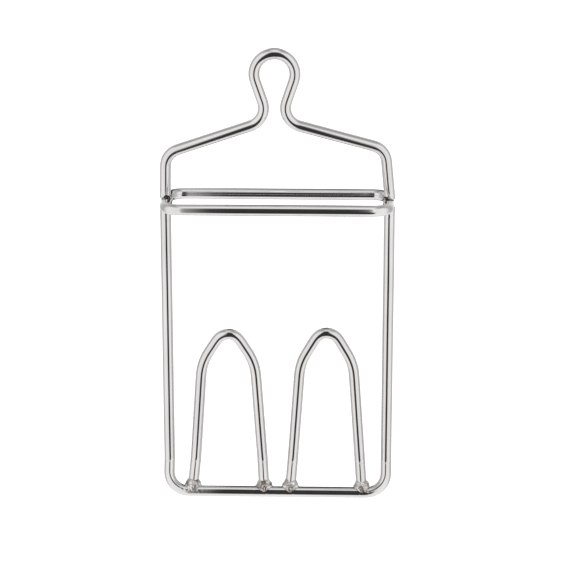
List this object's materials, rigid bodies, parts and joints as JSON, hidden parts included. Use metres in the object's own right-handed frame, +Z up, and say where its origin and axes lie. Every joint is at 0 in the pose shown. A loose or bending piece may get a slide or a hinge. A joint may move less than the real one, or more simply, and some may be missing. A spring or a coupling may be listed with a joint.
{
  "type": "wire drying hanger",
  "caption": "Bent round-wire hanging rack: a keyhole eye and sloping shoulders above a level rail ring, and a frame whose forward-bent foot carries two pointed upright loops.",
  "frame": {"origin": "centre of the hanging eye's round bend, in the middle of the wire", "axes": "+Z up, -Y towards the front, the side the foot bends to, +X to the right seen from the front"},
  "size_m": [0.1071, 0.037, 0.2109],
  "materials": {
    "polished_wire": "mirror-polished round stainless wire with fine drawing lines",
    "weld_metal": "lumpy weld bead with a light bronze heat tint, partly polished"
  },
  "bodies": {
    "root": {"hanger_top_wire": "polished_wire", "rail_ring": "polished_wire", "frame_wire": "polished_wire", "loop_left": "polished_wire", "loop_right": "polished_wire", "upper_ring_weld_left": "weld_metal", "lower_ring_weld_left": "weld_metal", "upper_ring_weld_right": "weld_metal", "lower_ring_weld_right": "weld_metal", "left_loop_weld_left": "weld_metal", "left_loop_weld_right": "weld_metal", "right_loop_weld_left": "weld_metal", "right_loop_weld_right": "weld_metal"}
  },
  "joints": []
}
